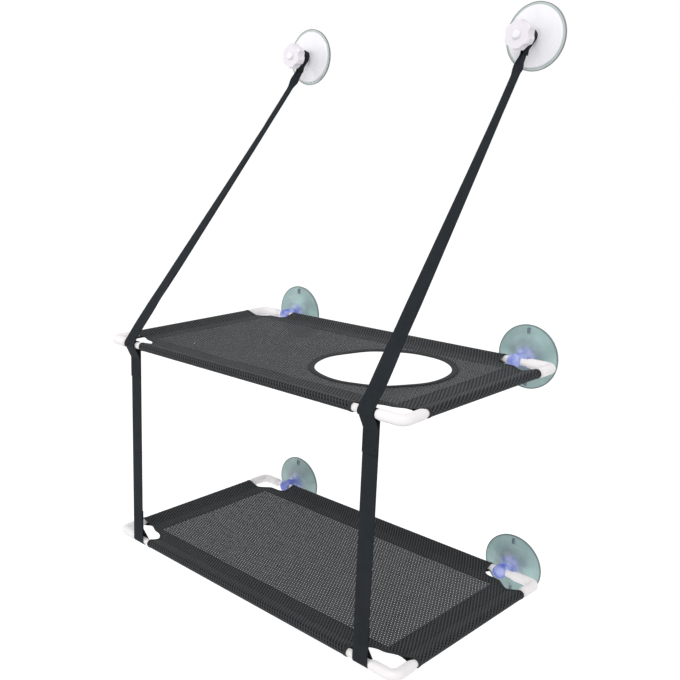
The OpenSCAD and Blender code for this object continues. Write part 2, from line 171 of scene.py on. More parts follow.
class Wire:
    """One output socket. Sums, products and comparisons of wires and numbers add their own Math nodes."""

    def __init__(self, tree, socket=None):
        self.tree, self.socket = tree, socket

    def add(self, kind, setup=None, inputs=(), out=0):
        """A new node of any kind: its settings, then its sockets by name or place, as values or wires."""
        node = self.tree.nodes.new(kind)
        for name, value in (setup or {}).items():
            setattr(node, name, value)
        for name, value in inputs.items() if isinstance(inputs, dict) else enumerate(inputs):
            if isinstance(value, Wire):
                self.tree.links.new(value.socket, node.inputs[name])
            else:
                node.inputs[name].default_value = value
        return Wire(self.tree, node.outputs[out])

    def maths(self, operation, *values):
        return self.add("ShaderNodeMath", {"operation": operation}, values)

    __add__, __radd__ = joining("ADD"), joining("ADD", True)
    __sub__, __rsub__ = joining("SUBTRACT"), joining("SUBTRACT", True)
    __mul__, __rmul__ = joining("MULTIPLY"), joining("MULTIPLY", True)
    __truediv__, __rtruediv__ = joining("DIVIDE"), joining("DIVIDE", True)
    __pow__, __rpow__ = joining("POWER"), joining("POWER", True)
    least, most = joining("MINIMUM"), joining("MAXIMUM")
    size, sine = joining("ABSOLUTE"), joining("SINE")

    def rest(self, pitch):
        """Signed distance to the nearest whole multiple of pitch."""
        return self.maths("WRAP", self, pitch / 2, -pitch / 2)

    def step(self, low, high):
        """0 below low and 1 above high, smooth between; the other way round where low is above high."""
        down = low > high
        return self.add(
            "ShaderNodeMapRange", {"interpolation_type": "SMOOTHSTEP"},
            {"Value": self, "From Min": min(low, high), "From Max": max(low, high),
             "To Min": float(down), "To Max": float(not down)},
        )

    def blend(self, first, second):
        """Colour first where this is 0 and second where it is 1."""
        return self.add(
            "ShaderNodeMix", {"data_type": "RGBA"}, {0: self, 6: paint(first), 7: paint(second)}, out=2
        )

    def parts(self):
        split = self.add("ShaderNodeSeparateXYZ", None, [self])
        return [Wire(self.tree, out) for out in split.socket.node.outputs]


def paint(value):
    return value if isinstance(value, Wire) else (*value[:3], 1.0)


def scaled(value, by):
    return tuple(min(1.0, c * by) for c in value[:3])


class Finish:
    """A material with one Principled shader: constants are set on its own sockets, and wires are linked."""

    def __init__(self, name, **constants):
        self.material = bpy.data.materials.new(name)
        self.material.use_nodes = True
        self.tree = self.material.node_tree
        self.shader = self.tree.nodes["Principled BSDF"]
        self.start = Wire(self.tree)
        for socket, value in constants.items():
            self.shader.inputs[socket.replace("_", " ")].default_value = value

    def link(self, socket, wire):
        self.tree.links.new(wire.socket, self.shader.inputs[socket])

    def colour(self, mask, first, second):
        """Base colour: first where the mask is 0 and second where it is 1."""
        self.link("Base Color", mask.blend(first, second))

    def bump(self, height, distance, strength):
        inputs = {"Strength": strength, "Distance": distance, "Height": height}
        self.link("Normal", self.start.add("ShaderNodeBump", None, inputs))

    def cut(self):
        """Place in the flat cut: across and along, in metres."""
        return self.start.add("ShaderNodeAttribute", {"attribute_name": "cut"}, out=1).parts()

    def place(self):
        return self.start.add("ShaderNodeTexCoord", out=3)

    def noise(self, where, scale, detail=2.0, rough=0.5):
        inputs = {"Vector": where, "Scale": scale, "Detail": detail, "Roughness": rough}
        return self.start.add("ShaderNodeTexNoise", None, inputs)


# Shapes


def unit(v):
    v = np.asarray(v, float)
    return v / np.maximum(np.linalg.norm(v, axis=-1, keepdims=True), 1e-12)


def smooth(t):
    t = np.clip(t, 0.0, 1.0)
    return t * t * (3.0 - 2.0 * t)


def distances(path):
    """How far along a path each of its points lies."""
    return np.concatenate([[0.0], np.cumsum(np.linalg.norm(np.diff(path, axis=0), axis=1))])


def arc(r, start, end, count):
    """Flat points of an arc round nought, from one angle in degrees to another."""
    turns = np.radians(np.linspace(start, end, count))
    return r * np.stack([np.cos(turns), np.sin(turns)], -1)


def line(a, b, count):
    t = np.linspace(0, 1, count)[:, None]
    return (1 - t) * np.asarray(a, float) + t * np.asarray(b, float)


def touch_angle(point, r, side):
    """Angle at which a line from a flat point touches a circle round nought, in degrees."""
    angle = math.atan2(point[1], point[0]) + side * math.acos(r / math.hypot(*point))
    return math.degrees(angle)


def joined(*runs):
    """Runs of points as one, with the points that two runs share kept once."""
    made = [runs[0]]
    for run in runs[1:]:
        made.append(run[1:] if np.allclose(run[0], made[-1][-1], atol=1e-6) else run)
    return np.concatenate(made)


def centre_and_half(node):
    """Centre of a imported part's box, and half its size."""
    low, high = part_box(node)
    return (low + high) / 2, (high - low) / 2


def new_piece(name, points, faces, material, cut=None):
    mesh = bpy.data.meshes.new(name)
    mesh.from_pydata([tuple(p) for p in points], [], [tuple(f) for f in faces])
    mesh.validate()
    if cut is not None:
        layer = mesh.attributes.new("cut", "FLOAT_VECTOR", "POINT")
        layer.data.foreach_set("vector", np.asarray(cut, np.float32).reshape(-1))
    mesh.polygons.foreach_set("use_smooth", [True] * len(mesh.polygons))
    mesh.materials.append(material)
    made = bpy.data.objects.new(name, mesh)
    bpy.context.scene.collection.objects.link(made)
    mesh.update()
    return made


def fit(piece, body, stands_for=None):
    """Joins a piece to the body that it moves with, and hides the imported solid that it stands for."""
    if stands_for:
        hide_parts(stands_for)
    if body:
        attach(piece, body)
    return piece


def tube_faces(count, around, closed=False):
    """Quads of a sweep of `count` sections with `around` points each, with caps unless it is closed."""
    faces = []
    for i in range(count if closed else count - 1):
        a, b = i * around, (i + 1) % count * around
        faces += [(a + j, a + (j + 1) % around, b + (j + 1) % around, b + j) for j in range(around)]
    if not closed:
        faces.append(tuple(range(around))[::-1])
        faces.append(tuple((count - 1) * around + j for j in range(around)))
    return faces


class Heap:
    """Collects many small bodies into one mesh."""

    def __init__(self):
        self.points, self.faces, self.cut, self.count = [], [], [], 0

    def put(self, points, faces, cut=None):
        self.points.append(points)
        self.cut.append(np.zeros((len(points), 3)) if cut is None else cut)
        self.faces += [tuple(i + self.count for i in f) for f in faces]
        self.count += len(points)

    def piece(self, name, material):
        return new_piece(name, np.concatenate(self.points), self.faces, material, np.concatenate(self.cut))


# Places along one stitch, and how fat the thread is there
STITCH_ENDS = ((-0.5, 0.25), (-0.40, 0.85), (-0.2, 1.0), (0.2, 1.0), (0.40, 0.85), (0.5, 0.25))
STITCH_SIDES = 6
# Width and height of a thread that is pulled flat, how far its ends dip, and how far it stands proud,
# in diameters of the thread
THREAD_FLAT = np.array([1.3, 0.7])
THREAD_DIP = 0.15
THREAD_PROUD = 0.2
# Height of a thread's middle above webbing and tape
THREAD_LIFT = 0.0001


def stitch(heap, middle, along, up, sizes):
    """One stitch lying on the cloth: a thread that is rounded on top and dips in at its ends."""
    side = np.cross(along, up)
    points = []
    for at, fat in STITCH_ENDS:
        ring = THREAD_FLAT * arc(sizes.thread / 2 * fat, 0, 360, STITCH_SIDES + 1)[:-1]
        dip = (fat - 1.0) * sizes.thread * THREAD_DIP
        points.append(middle + along * at * sizes.stitch + ring[:, :1] * side + (ring[:, 1:] + dip) * up)
    heap.put(np.concatenate(points), tube_faces(len(STITCH_ENDS), STITCH_SIDES))


def sew(heap, path, normals, sizes):
    """A row of stitches along a path of close points."""
    gone = distances(path)
    pitch = sizes.stitch + sizes.stitch_gap
    count = int(gone[-1] // pitch)
    spare = (gone[-1] - count * pitch) / 2

    def between(s, values):
        return np.array([np.interp(s, gone, values[:, k]) for k in range(3)])

    for i in range(count):
        s = spare + (i + 0.5) * pitch
        along = unit(between(s + sizes.stitch / 2, path) - between(s - sizes.stitch / 2, path))
        up = unit(between(s, normals))
        stitch(heap, between(s, path), along, unit(up - along * (up @ along)), sizes)


# Decks


# Depth of a hem below the deck that it is turned under, in thicknesses of the cloth
HEM_DROP = 1.6
# Length over which a corner cut's rise falls away, and how far before the side sleeve's seam it ends
RISE_FALL = 0.025
RISE_END = 0.001
# Distances of grid lines: on the deck, along a corner cut, and least distance from the cloth's edge
DECK_STEP = 0.009
CUT_STEP = 0.002
GRID_CLEAR = 0.0022
ROUND_POINTS = 15
HEM_POINTS = 49
SIDE_POINTS = 29
THIRDS = np.array([1, 2, 3]) / 3
HOLE_POINTS = 96
HOLE_TAPE_POINTS = 144
HOLE_SEAM_POINTS = 319
# Half the distance over which the cloth's slope is taken
SLOPE = 0.0004
# How far the tape round the hole covers the cloth's edge, its width, and half its thickness
HOLE_LAP = 0.006
HOLE_TAPE = 0.009
HOLE_TAPE_HALF = 0.0012
# Distances from the tape's outer edge of its own stitches and of the deck's rows
HOLE_SEAM = 0.0022
HOLE_CLEAR = 0.004
# Corners that are nearer than this are one, and triangles smaller than this are left out
SAME_POINT = 1e-7
LEAST_AREA = 1e-10
# Distances of the rows of stitches from a sleeve's seam, from a hem's edge and from the edge tape
SEAM_ROW = 0.0015
HEM_ROW = 0.0025
ROW_END = 0.001
ROW_POINTS = 160
EDGE_TAPE_HALF = 0.00055
EDGE_TAPE_STEP = 0.004
# Section of folded tape: share of its width in from the edge, and share of its half thickness
TAPE_PROFILE = (
    (1.0, 0.55), (0.97, 0.95), (0.80, 1.0), (0.45, 1.0), (0.18, 1.0), (0.05, 0.8), (0.0, 0.35),
    (0.0, -0.35), (0.05, -0.8), (0.18, -1.0), (0.45, -1.0), (0.80, -1.0), (0.97, -0.95), (1.0, -0.55),
)


def slow_waves(x, y):
    """Slow waves of the cloth, each 6 to 15 cm long, as a share of their height."""
    return np.sin(x * 41.0 + 1.3) * np.cos(y * 57.0 + 0.4) + 0.6 * np.sin(x * 88.0 + y * 63.0)


class Deck:
    """One deck's measures, read from its tubes, and the way its cloth hangs on them."""

    def __init__(self, tier, sizes):
        spot = {edge: centre_and_half(f"{tier}_{edge}_tube")[0] for edge in EDGES}
        self.tier, self.sizes = tier, sizes
        self.z = spot["front"].z
        self.half = np.array([spot["right"].x, (spot["back"].y - spot["front"].y) / 2])
        self.centre_y = (spot["back"].y + spot["front"].y) / 2
        self.flat = self.half - sizes.seam
        self.radius = centre_and_half(f"{tier}_front_tube")[1].z + sizes.sleeve_ease
        self.touch = math.acos(self.radius / sizes.seam)
        self.rise = math.sqrt(sizes.seam**2 - self.radius**2)
        self.round = 2 * (math.pi - self.touch) * self.radius
        self.back = sizes.border - sizes.seam
        self.flap = 2 * self.rise + self.round + self.back
        # Reach of the flaps along the other way, where the corner cuts end them
        self.reach = self.half - np.array([sizes.cut_long, sizes.cut_deep])
        self.hole = None
        if tier == "upper":
            centre, half = centre_and_half("upper_hole_binding")
            self.hole = np.array([centre.x, centre.y - self.centre_y])
            self.hole_outer = half.x
            self.hole_cloth = half.x - HOLE_LAP

    def sleeve(self, d):
        """Way out from the seam and height of the cloth, at arc length d past the seam."""
        s, r = self.sizes, self.radius
        d = d[:, None]
        half_turn = math.pi - self.touch
        top = np.array([s.seam + r * math.cos(half_turn), r * math.sin(half_turn)])
        hem = -HEM_DROP * s.cloth
        turn = half_turn - np.clip((d - self.rise) / r, 0, 2 * half_turn)
        t = np.clip((d - self.rise - self.round) / self.rise, 0, 1)
        more = d - 2 * self.rise - self.round
        way = np.clip(d / self.rise, 0, 1) * top
        way = np.where(d > self.rise, np.hstack([s.seam + r * np.cos(turn), r * np.sin(turn)]), way)
        way = np.where(d > self.rise + self.round, (1 - t) * (top * [1, -1]) + t * [0, hem], way)
        return np.where(more > 0, np.hstack([-more, np.full_like(d, hem)]), way)

    def hang(self, flat):
        """Row frame places of points of the flat cut."""
        made = np.pad(flat, ((0, 0), (0, 1)))
        for k in (0, 1):
            over = np.abs(flat[:, k]) - self.flat[k]
            past = over > 0
            way = self.sleeve(np.maximum(over, 0))
            made[past, k] = np.sign(flat[past, k]) * (self.flat[k] + way[past, 0])
            made[past, 2] = way[past, 1]
        x, y = made[:, 0], made[:, 1]
        room = np.maximum(0, 1 - (x / self.flat[0]) ** 2) * np.maximum(0, 1 - (y / self.flat[1]) ** 2)
        made[:, 2] += self.sizes.ripple * slow_waves(x, y) * np.minimum(1, 4 * room) - self.sizes.sag * room
        return made + np.array([0.0, self.centre_y, self.z])

    def normal(self, flat):
        a = self.hang(flat + [SLOPE, 0]) - self.hang(flat - [SLOPE, 0])
        b = self.hang(flat + [0, SLOPE]) - self.hang(flat - [0, SLOPE])
        return unit(np.cross(a, b))

    def cut_round(self, back):
        """Centre and radius of the round corner cuts, and how far they rise, at the back or at the front."""
        s = self.sizes
        radius = np.where(back, s.back_radius, s.front_radius)
        rise = np.where(back, s.back_rise, s.front_rise)
        return self.reach + np.stack([radius, radius + rise], -1), radius, rise

    def cut_depth(self, along, rise):
        """How far the cloth reaches towards a corner cut. It falls back before the side sleeve's seam."""
        fall = smooth((along - self.flat[0] + RISE_FALL + RISE_END) / RISE_FALL)
        return self.reach[1] + rise * (1 - fall)

    def cut_corner(self, back):
        """Edge of one corner cut in the flat, from the long flap's hem to the short flap's hem."""
        centre, radius, rise = self.cut_round(back)
        down, out = self.marks(1), self.marks(0)
        first = [(self.reach[0], v) for v in down[down > centre[1]][::-1]]
        deck = np.arange(centre[0], self.flat[0] - RISE_END, CUT_STEP)[1:]
        across = np.concatenate([deck, out[out >= self.flat[0]]])
        last = np.stack([across, self.cut_depth(across, rise)], -1)
        return np.concatenate([first, centre + arc(radius, 180, 270, ROUND_POINTS), last])

    def marks(self, k):
        """Grid lines of the flat on the positive side: even on the deck and close where a sleeve turns."""
        deck = np.linspace(0, self.flat[k], round(self.flat[k] / DECK_STEP) + 1)
        turn = np.linspace(self.rise, self.rise + self.round, ROUND_POINTS)
        flap = np.concatenate([self.rise * THIRDS[:2], turn, turn[-1] + self.rise * THIRDS])
        back = flap[-1] + self.back * THIRDS
        return np.concatenate([deck, self.flat[k] + flap, self.flat[k] + back])

    def outline(self):
        """Edge of the cut in the flat, all the way round from the right back corner cut."""
        front, back = self.cut_corner(False), self.cut_corner(True)
        far = self.flat + self.flap
        hem = np.linspace(self.reach[0], -self.reach[0], HEM_POINTS)[1:-1]
        side = np.linspace(self.reach[1], -self.reach[1], SIDE_POINTS)[1:-1]
        ring = [*back, *((far[0], v) for v in side)]
        ring += [*((u, -v) for u, v in front[::-1]), *((u, -far[1]) for u in hem)]
        ring += [*((-u, -v) for u, v in front), *((-far[0], -v) for v in side)]
        ring += [*((-u, v) for u, v in back[::-1]), *((-u, far[1]) for u in hem)]
        return np.array(ring)

    def inside(self, p, clear=0.0):
        """Which flat points are on the cloth, at least `clear` from its edges."""
        a = np.abs(p)
        centre, radius, rise = self.cut_round(p[:, 1] > 0)
        far = self.flat + self.flap - clear
        long = (a[:, 0] < self.reach[0] - clear) & (a[:, 1] < far[1])
        wide = (a[:, 1] < self.cut_depth(a[:, 0], rise) - clear) & (a[:, 0] < far[0])
        near = (a < centre).all(axis=1)
        off = np.linalg.norm(a - centre, axis=1) > radius + clear
        good = long | wide | (near & off)
        if self.hole is not None:
            good &= np.linalg.norm(p - self.hole, axis=1) > self.hole_cloth + clear
        return good


def mesh_cover(deck, material):
    """The whole cover as one cut of cloth: the deck, four sleeves and the hems behind them."""
    xs, ys = (np.concatenate([-deck.marks(k)[:0:-1], deck.marks(k)]) for k in (0, 1))
    grid = np.stack(np.meshgrid(xs, ys, indexing="ij"), -1).reshape(-1, 2)
    rings = [deck.outline()]
    if deck.hole is not None:
        rings.append(deck.hole + arc(deck.hole_cloth, 0, 360, HOLE_POINTS + 1)[:-1])
    edges = []
    for ring in rings:
        start, count = len(edges), len(ring)
        edges += [(start + i, start + (i + 1) % count) for i in range(count)]
    points = np.concatenate([*rings, grid[deck.inside(grid, GRID_CLEAR)]])
    made = delaunay_2d_cdt([Vector(p) for p in points], edges, [], 0, SAME_POINT)
    flat = np.array([tuple(v) for v in made[0]])
    faces = np.array([f for f in made[2] if len(f) == 3])
    faces = faces[deck.inside(flat[faces].mean(axis=1))]
    a, b, c = (flat[faces[:, i]] for i in range(3))
    (bx, by), (cx, cy) = (b - a).T, (c - a).T
    areas = np.abs(bx * cy - by * cx) / 2
    used, faces = np.unique(faces[areas > LEAST_AREA], return_inverse=True)
    flat = flat[used]
    cut = np.pad(flat, ((0, 0), (0, 1)))
    piece = new_piece(f"{deck.tier}_cover_cloth", deck.hang(flat), faces.reshape(-1, 3), material, cut)
    thick = piece.modifiers.new("cloth thickness", "SOLIDIFY")
    thick.thickness, thick.offset = deck.sizes.cloth, 0.0
    fit(piece, f"{deck.tier}_perch", f"{deck.tier}_mesh_cover")
    wide, deep = 2 * (deck.flat + deck.flap)
    return piece, (float(wide), float(deep)), float(areas.sum())


def tape(heap, deck, edge, inward, width, half, closed):
    """Tape folded over an edge of the cloth. inward points from the edge into the cloth, in the flat."""
    gone = distances(edge)
    points, cut = [], []
    for share, side in TAPE_PROFILE:
        flat = edge + inward * (share * width)
        points.append(deck.hang(flat) + deck.normal(flat) * (side * half))
        cut.append(np.stack([gone, np.full(len(edge), share * width), np.full(len(edge), side)], -1))
    points, cut = (np.stack(x, 1).reshape(-1, 3) for x in (points, cut))
    heap.put(points, tube_faces(len(edge), len(TAPE_PROFILE), closed), cut)


def cover_tapes(deck, material):
    """Edge tape of the four corner cuts."""
    heap = Heap()
    for sy in (-1, 1):
        corner = deck.cut_corner(sy > 0)
        fine = corner[:1]
        for a, b in zip(corner, corner[1:]):
            count = max(1, int(np.linalg.norm(b - a) / EDGE_TAPE_STEP))
            fine = np.concatenate([fine, line(a, b, count + 1)[1:]])
        along = unit(np.gradient(fine, axis=0))
        inward = np.stack([along[:, 1], -along[:, 0]], -1)
        for sx in (-1, 1):
            flip = np.array([sx, sy])
            way = sx * sy
            edge, into = (fine * flip)[::way], (inward * flip)[::way]
            tape(heap, deck, edge, into, deck.sizes.edge_tape, EDGE_TAPE_HALF, False)
    return fit(heap.piece(f"{deck.tier}_cover_edge_tape", material), f"{deck.tier}_perch")


def seam_rows(deck, under):
    """Rows of stitches of one cover, in the flat: along its sleeves and hems, on the deck or in the flaps."""
    rows = []
    for k in (0, 1):
        spans = (deck.flat[k] - SEAM_ROW, deck.flat[k] - deck.back + HEM_ROW)
        if under:
            hem = deck.flat[k] + deck.flap
            spans = (hem - deck.back + SEAM_ROW, hem - HEM_ROW)
        reach = deck.reach[1 - k] - deck.sizes.edge_tape - ROW_END
        for at in spans:
            for sign in (-1, 1):
                row = np.zeros((ROW_POINTS, 2))
                row[:, k], row[:, 1 - k] = sign * at, np.linspace(-reach, reach, ROW_POINTS)
                rows.append(row)
    return rows


def cover_stitches(deck, material):
    """Stitches of all the sleeve seams and hems, left out where a row would cross the hole."""
    heap = Heap()
    s = deck.sizes
    for row in [*seam_rows(deck, False), *seam_rows(deck, True)]:
        if deck.hole is not None:
            row = row[np.linalg.norm(row - deck.hole, axis=1) > deck.hole_outer + HOLE_CLEAR]
        gaps = np.where(np.diff(distances(row)) > 5 * HOLE_CLEAR)[0] + 1
        for part in np.split(row, gaps):
            if len(part) > 3:
                up = deck.normal(part)
                sew(heap, deck.hang(part) + up * (s.cloth / 2 + s.thread * THREAD_PROUD), up, s)
    return fit(heap.piece(f"{deck.tier}_cover_stitches", material), f"{deck.tier}_perch")


def hole_tape(deck, tape_material, thread_material):
    """Folded tape round the hole, with its row of stitches."""
    out = arc(1, 0, 360, HOLE_TAPE_POINTS + 1)[:-1]
    heap, rows = Heap(), Heap()
    tape(heap, deck, deck.hole + (deck.hole_outer - HOLE_TAPE) * out, out, HOLE_TAPE, HOLE_TAPE_HALF, True)
    ring = deck.hole + arc(deck.hole_outer - HOLE_SEAM, 0, 360, HOLE_SEAM_POINTS + 1)
    up = deck.normal(ring)
    for side in (1, -1):
        sew(rows, deck.hang(ring) + up * side * (HOLE_TAPE_HALF + THREAD_LIFT), up * side, deck.sizes)
    piece = heap.piece("upper_hole_tape", tape_material)
    fit(piece, "upper_perch", "upper_hole_binding")
    return piece, fit(rows.piece("upper_hole_stitches", thread_material), "upper_perch")


# Webbing


# Radius and angle of a flap's fold, its least width, and the width at which it has turned right over
WEB_BEND = 0.00062
WEB_TURN = math.radians(176)
FLAP_LEAST = 0.003
FLAP_TURNED = 0.004
# Webbing's rounded edge: shares of its half width and of its half thickness, and the share between the edges
WEB_EDGE = ((1.0, 0.0), (0.985, 0.62), (0.93, 1.0))
WEB_FLAT = 0.95
# Loops of the straps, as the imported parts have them
PLY = 0.0012
LOOP_LENGTH = 0.022
SEWN_LENGTH = 0.030
# Where the diagonal strap's end lies on the upper front tube, in degrees, and its room over the other strap
HUG_START = 212
HUG_ROOM = 0.0015
# The diagonal strap's loop round a top cup's stem, which leans with the strap
STEM_R = 0.006
DOME_TOP = 0.0084
LOOP_HALF = 0.0065
LOOP_EASE = 0.0003
LOOP_LEAN = math.radians(15)
LOOP_UP = np.array([0.0, math.sin(LOOP_LEAN), math.cos(LOOP_LEAN)])
LOOP_OUT = np.array([0.0, -math.cos(LOOP_LEAN), math.sin(LOOP_LEAN)])
TOP_OPEN = 0.005
TOP_SEWN = 0.008
TOP_BEND = 0.012
# Shares of the diagonal strap's length where its flap starts and how long it grows, and the same of its twist
FLAP_START = 0.02
FLAP_GROWTH = 0.78
TWIST_START = 0.93
TWIST_LENGTH = 0.06
# Points along the straps' stretches
TAIL_POINTS = 10
SHORT_POINTS = 6
RING_POINTS = 26
HANG_POINTS = 60
HUG_POINTS = 16
LOW_POINTS = 8
RISE_POINTS = 90
STEM_POINTS = 40
BOX_POINTS = 12
# Boxes of stitches: how much narrower and shorter than the sewn webbing they are
SEWN_SIDE = 0.006
SEWN_END = 0.007
TOP_SIDE = 0.005
TOP_END = 0.002


def web_section(width, thick, flap):
    """Outline of webbing in (across, up), with a flap of the given width folded over at its right edge."""
    half = width / 2
    crease = half - max(flap, FLAP_LEAST)
    turn = WEB_TURN * float(smooth(flap / FLAP_TURNED))
    curl = crease + WEB_BEND * WEB_TURN * np.linspace(0.2, 1, 5)
    edge = [(half * x, h) for x, h in WEB_EDGE]
    end = edge[-1][0]
    body = [*np.linspace(-end, crease, 5)[1:], *curl, *np.linspace(curl[-1], end, 4)[1:-1]]
    top = [*[(-x, h) for x, h in edge], *[(x, WEB_FLAT) for x in body], *edge[::-1]]
    bulge = (WEB_BEND + thick / 2) * math.sin(min(turn, math.pi / 2))
    shift = (half - crease - max(bulge, (half - crease) * math.cos(turn))) / 2
    made = []
    for x, h in [*top, *[(x, -h) for x, h in top[-2:0:-1]]]:
        h *= thick / 2
        turned = min(max(0.0, x - crease) / WEB_BEND, turn)
        spare = max(0.0, x - crease - WEB_BEND * turn)
        c, s = math.cos(turned), math.sin(turned)
        across = min(x, crease) + WEB_BEND * s + spare * c - s * h
        up = WEB_BEND * (1 - c - turn / math.pi) + spare * s + c * h
        made.append((across + shift, up, x))
    return np.array(made)


def lay_web(heap, path, across, width, thick, flap):
    """Webbing along a path, with its width along `across` and the width of its flap at each point."""
    along = unit(np.gradient(path, axis=0))
    across = unit(across - along * (across * along).sum(1, keepdims=True))
    up = np.cross(across, along)
    points, cut = [], []
    for p, a, n, f, s in zip(path, across, up, flap, distances(path)):
        section = web_section(width, thick, float(f))
        points.append(p + section[:, :1] * a + section[:, 1:2] * n)
        cut.append(np.stack([section[:, 2], np.full(len(section), s), np.zeros(len(section))], -1))
    heap.put(np.concatenate(points), tube_faces(len(points), len(points[0])), np.concatenate(cut))


def sewn_box(heap, middle, across, along, up, wide, long, sizes):
    """A rectangle of stitches with its two diagonals."""
    ways = ((-1, -1), (1, -1), (1, 1), (-1, 1))
    corners = [middle + across * a * wide / 2 + along * b * long / 2 for a, b in ways]
    for a, b in ((0, 1), (1, 2), (2, 3), (3, 0), (0, 2), (1, 3)):
        sew(heap, line(corners[a], corners[b], BOX_POINTS), np.tile(up, (BOX_POINTS, 1)), sizes)


class StrapRoute:
    """Measures that both straps of one side share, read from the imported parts."""

    def __init__(self, side, sizes):
        strap, strap_half = centre_and_half(f"{side}_vertical_strap")
        dome, dome_half = centre_and_half(f"{side}_top_dome")
        tube, foot = centre_and_half("upper_front_tube")[0], centre_and_half("lower_front_tube")[0]
        self.sizes, self.side = sizes, side
        self.x, self.width = strap.x, 2 * strap_half.x
        self.front_y, self.top_z, self.low_z = tube.y, tube.z, foot.z
        self.ring = tube.y - (strap.y - strap_half.y) - PLY / 2
        self.inner = self.ring - PLY
        self.hug = self.ring + HUG_ROOM
        self.lean = math.asin(2 * self.ring / (tube.z - foot.z))
        self.rise = (tube.z - foot.z) * math.cos(self.lean)
        self.stem = np.array([dome.x, dome.y - dome_half.y, dome.z])
        self.face = sizes.web / 2 + THREAD_LIFT

    def turned(self, flat):
        """Room to window and up, of directions drawn along the leaning vertical strap."""
        c, s = math.cos(self.lean), math.sin(self.lean)
        y, z = np.asarray(flat, float).T
        return np.column_stack([np.zeros(len(y)), y * c + z * s, z * c - y * s])

    def hang(self, flat):
        """Places points that are drawn along the leaning vertical strap, from the lower front tube's axis."""
        return self.turned(flat) + [self.x, self.front_y, self.low_z]


def vertical_strap(route, material):
    """Tail, loop round the lower tube, rise behind the upper tube, loop over it, and the other tail."""
    inner = -route.inner
    ring = arc(route.ring, touch_angle((inner, LOOP_LENGTH), route.ring, -1), -180, RING_POINTS)
    tail = line((inner, LOOP_LENGTH + SEWN_LENGTH), (inner, LOOP_LENGTH), TAIL_POINTS)
    foot = joined(tail, line(tail[-1], ring[0], SHORT_POINTS), ring)
    head = np.array([-2 * route.ring, route.rise]) - foot[::-1]
    path = route.hang(joined(foot, line(foot[-1], head[0], HANG_POINTS), head))
    heap = Heap()
    lay_web(heap, path, ACROSS, route.width, route.sizes.web, np.zeros(len(path)))
    piece = heap.piece(f"{route.side}_vertical_webbing", material)
    fit(piece, "hanging_straps", f"{route.side}_vertical_strap")


def vertical_stitches(route, material):
    """A box of stitches on both faces of both sewn ends."""
    heap = Heap()
    out, up = route.turned([(1, 0), (0, 1)])
    middle = LOOP_LENGTH + SEWN_LENGTH / 2
    wide, long = route.width - SEWN_SIDE, SEWN_LENGTH - SEWN_END
    for x, face in ((-route.ring - route.face, -1), (-route.inner + route.face, 1)):
        for at, way in (((x, middle), face), ((-2 * route.ring - x, route.rise - middle), -face)):
            sewn_box(heap, route.hang([at])[0], ACROSS, up, out * way, wide, long, route.sizes)
    fit(heap.piece(f"{route.side}_vertical_stitches", material), "hanging_straps")


class DiagonalRoute:
    """Line of a diagonal strap, from its end at the tube to its tail at the stem, with its flap and twist."""

    def __init__(self, route):
        x, y, z = route.stem
        self.centre = np.array([x, -(DOME_TOP - y) / 2, z])
        self.ring = STEM_R / math.cos(LOOP_LEAN) + LOOP_HALF * math.tan(LOOP_LEAN) + LOOP_EASE + PLY
        self.meet = self.ring + PLY + TOP_OPEN
        self.high = self.on_loop(np.array([(-PLY, -self.meet - TOP_SEWN)]))[0]
        touch = touch_angle((self.high[1] - route.front_y, self.high[2] - route.top_z), route.hug, 1)
        self.climb = np.array([0, math.sin(math.radians(touch)), -math.cos(math.radians(touch))])
        flat = arc(route.hug, HUG_START, touch, HUG_POINTS) + [route.front_y, route.top_z]
        hug = np.column_stack([np.full(len(flat), route.x), flat])
        self.start = hug[-1]
        self.low = self.start + self.climb * SEWN_LENGTH
        sewn = line(self.start, self.low, LOW_POINTS)
        self.path = joined(hug, sewn, self.rise(), self.on_loop(self.loop()))
        first = HUG_POINTS + LOW_POINTS - 1
        self.fold(route.width / 2, first, first + RISE_POINTS - 1)

    def on_loop(self, flat):
        """Places of points that are drawn in the leaning plane of the stem's loop."""
        return self.centre + flat[:, :1] * ACROSS + flat[:, 1:] * LOOP_UP

    def rise(self):
        """A gentle curve from the sewn end to the loop, which leaves and ends along their own leans."""
        third = np.linalg.norm(self.high - self.low) / 3
        lean = ACROSS * (self.high[0] - self.low[0]) / 3
        knots = self.low, self.low + self.climb * third + lean, self.high - LOOP_UP * TOP_BEND, self.high
        t = np.linspace(0, 1, RISE_POINTS)[:, None]
        u = 1 - t
        return u**3 * knots[0] + 3 * u * u * t * knots[1] + 3 * u * t * t * knots[2] + t**3 * knots[3]

    def loop(self):
        """Flat points of the loop: up its sewn side, round the stem and down to its tail."""
        left = touch_angle((-PLY, -self.meet), self.ring, -1)
        right = touch_angle((PLY, -self.meet), self.ring, 1)
        over = arc(self.ring, left, right - 360 * (right > left), STEM_POINTS)
        up = line((-PLY, -self.meet - TOP_SEWN), (-PLY, -self.meet), SHORT_POINTS)
        down = (up * [-1, 1])[::-1]
        to_stem, back = line(up[-1], over[0], SHORT_POINTS), line(over[-1], down[0], SHORT_POINTS)
        return joined(up, to_stem, over, back, down)

    def fold(self, half, first, last):
        """Folds a flap over, wider towards the top, and twists the strap to lie flat on the stem."""
        gone = distances(self.path[first:last])
        share = gone / gone[-1]
        self.flap = np.zeros(len(self.path))
        self.flap[first:last] = half * ((share - FLAP_START) / FLAP_GROWTH).clip(0, 1)
        self.flap[last:] = half
        along = unit(np.gradient(self.path, axis=0))[first:last]
        turn = -math.pi / 2 * smooth((share - TWIST_START) / TWIST_LENGTH)[:, None]
        self.across = np.tile(ACROSS, (len(self.path), 1))
        self.across[first:last] = ACROSS * np.cos(turn) + np.cross(ACROSS, along) * np.sin(turn)
        self.across[last:] = -LOOP_OUT


